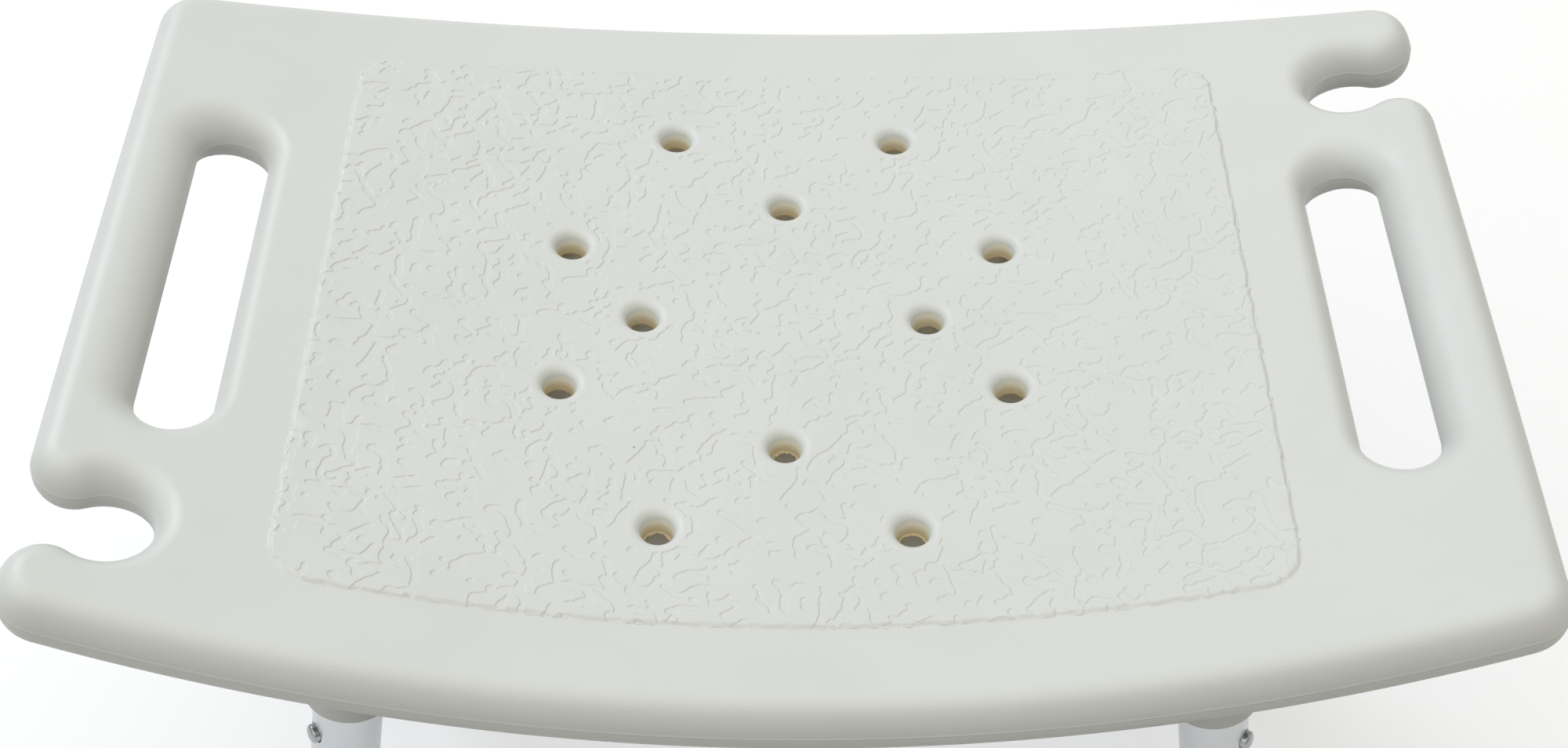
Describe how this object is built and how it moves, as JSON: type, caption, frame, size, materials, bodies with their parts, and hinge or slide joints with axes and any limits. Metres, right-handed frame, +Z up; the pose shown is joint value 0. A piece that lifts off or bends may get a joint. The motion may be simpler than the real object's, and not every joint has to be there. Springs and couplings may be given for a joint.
{
  "type": "bath bench",
  "caption": "Backless bath bench: a curved moulded seat with hand slots, drain holes and shower-head notches on splayed height-adjustable legs with snap buttons.",
  "frame": {"origin": "on the floor under the middle of the seat, with the legs at their shortest", "axes": "+Z up; +X along the seat's long side, to the right seen from the front; +Y to the back"},
  "size_m": [0.4958, 0.336, 0.399],
  "materials": {
    "seat_plastic": "blow-moulded polyethylene, satin, with a leather-grained raised panel",
    "nylon": "injection-moulded nylon, fine satin",
    "aluminium": "satin anodised drawn tube and strip",
    "steel": "stainless, turned and pressed",
    "rubber": "moulded grey rubber, matt"
  },
  "bodies": {
    "bench_frame": {"seat": "seat_plastic", "leg_socket_front_left": "nylon", "socket_screw_a_front_left": "steel", "socket_screw_b_front_left": "steel", "socket_screw_c_front_left": "steel", "tube_screw_front_left": "steel", "upper_tube_front_left": "aluminium", "brace_collar_front_left": "nylon", "brace_screw_front_left": "steel", "tube_bush_front_left": "nylon", "leg_socket_front_right": "nylon", "socket_screw_a_front_right": "steel", "socket_screw_b_front_right": "steel", "socket_screw_c_front_right": "steel", "tube_screw_front_right": "steel", "upper_tube_front_right": "aluminium", "brace_collar_front_right": "nylon", "brace_screw_front_right": "steel", "tube_bush_front_right": "nylon", "leg_socket_back_left": "nylon", "socket_screw_a_back_left": "steel", "socket_screw_b_back_left": "steel", "socket_screw_c_back_left": "steel", "tube_screw_back_left": "steel", "upper_tube_back_left": "aluminium", "brace_collar_back_left": "nylon", "brace_screw_back_left": "steel", "tube_bush_back_left": "nylon", "leg_socket_back_right": "nylon", "socket_screw_a_back_right": "steel", "socket_screw_b_back_right": "steel", "socket_screw_c_back_right": "steel", "tube_screw_back_right": "steel", "upper_tube_back_right": "aluminium", "brace_collar_back_right": "nylon", "brace_screw_back_right": "steel", "tube_bush_back_right": "nylon", "brace_bar_upper": "aluminium", "brace_bar_lower": "aluminium", "brace_hub_bolt": "steel", "brace_hub_nut": "steel"},
    "extension_front_left": {"extension_tube_front_left": "aluminium", "button_spring_front_left": "steel", "foot_front_left": "rubber"},
    "button_front_left": {"snap_button_front_left": "steel"},
    "extension_front_right": {"extension_tube_front_right": "aluminium", "button_spring_front_right": "steel", "foot_front_right": "rubber"},
    "button_front_right": {"snap_button_front_right": "steel"},
    "extension_back_left": {"extension_tube_back_left": "aluminium", "button_spring_back_left": "steel", "foot_back_left": "rubber"},
    "button_back_left": {"snap_button_back_left": "steel"},
    "extension_back_right": {"extension_tube_back_right": "aluminium", "button_spring_back_right": "steel", "foot_back_right": "rubber"},
    "button_back_right": {"snap_button_back_right": "steel"}
  },
  "joints": [
    {"name": "extend_front_left", "type": "slide", "parent": "bench_frame", "child": "extension_front_left", "axis": [-0.1581, -0.1003, -0.9823], "range_m": [0, 0.15]},
    {"name": "press_button_front_left", "type": "hinge", "parent": "extension_front_left", "child": "button_front_left", "pos_m": [-0.17417, -0.11052, 0.21283], "axis": [-0.5358, 0.8444, 0], "range_deg": [0, 4.6], "stiffness_Nm_per_rad": 1.5},
    {"name": "extend_front_right", "type": "slide", "parent": "bench_frame", "child": "extension_front_right", "axis": [0.1581, -0.1003, -0.9823], "range_m": [0, 0.15]},
    {"name": "press_button_front_right", "type": "hinge", "parent": "extension_front_right", "child": "button_front_right", "pos_m": [0.17417, -0.11052, 0.21283], "axis": [-0.5358, -0.8444, 0], "range_deg": [0, 4.6], "stiffness_Nm_per_rad": 1.5},
    {"name": "extend_back_left", "type": "slide", "parent": "bench_frame", "child": "extension_back_left", "axis": [-0.1581, 0.1003, -0.9823], "range_m": [0, 0.15]},
    {"name": "press_button_back_left", "type": "hinge", "parent": "extension_back_left", "child": "button_back_left", "pos_m": [-0.17417, 0.11052, 0.21283], "axis": [0.5358, 0.8444, 0], "range_deg": [0, 4.6], "stiffness_Nm_per_rad": 1.5},
    {"name": "extend_back_right", "type": "slide", "parent": "bench_frame", "child": "extension_back_right", "axis": [0.1581, 0.1003, -0.9823], "range_m": [0, 0.15]},
    {"name": "press_button_back_right", "type": "hinge", "parent": "extension_back_right", "child": "button_back_right", "pos_m": [0.17417, 0.11052, 0.21283], "axis": [0.5358, -0.8444, 0], "range_deg": [0, 4.6], "stiffness_Nm_per_rad": 1.5}
  ]
}
